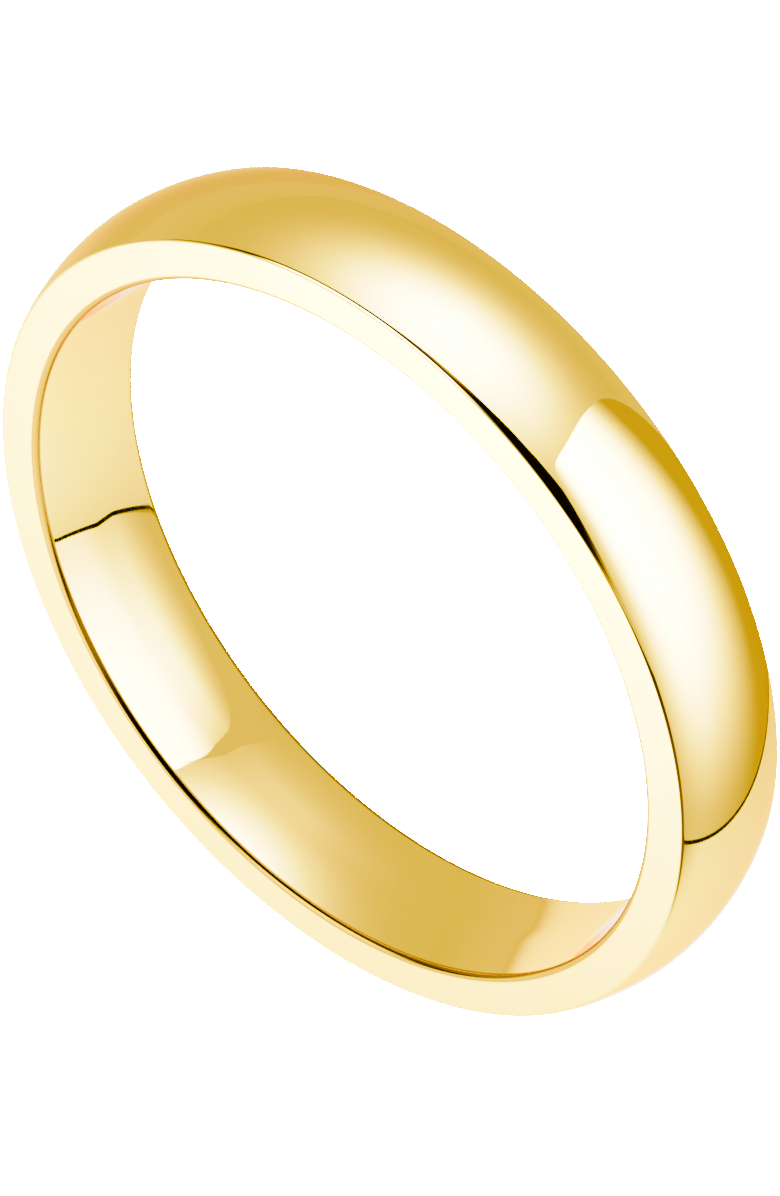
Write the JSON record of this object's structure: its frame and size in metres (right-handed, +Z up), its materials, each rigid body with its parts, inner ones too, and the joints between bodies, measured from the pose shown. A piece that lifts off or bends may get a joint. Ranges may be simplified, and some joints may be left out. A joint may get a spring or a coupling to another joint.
{
  "type": "wedding band",
  "caption": "Plain polished gold finger ring with a low domed outside, flat sides and an inside that opens slightly towards both sides.",
  "frame": {"origin": "centre of the ring, on the finger's axis and midway along the band's width", "axes": "+Y along the finger's axis; +Z up with the ring standing on its rim; the two sides are alike, so either may be the front"},
  "size_m": [0.022, 0.0036, 0.022],
  "materials": {
    "polished_gold": "mirror polished"
  },
  "bodies": {
    "root": {"band": "polished_gold"}
  },
  "joints": []
}
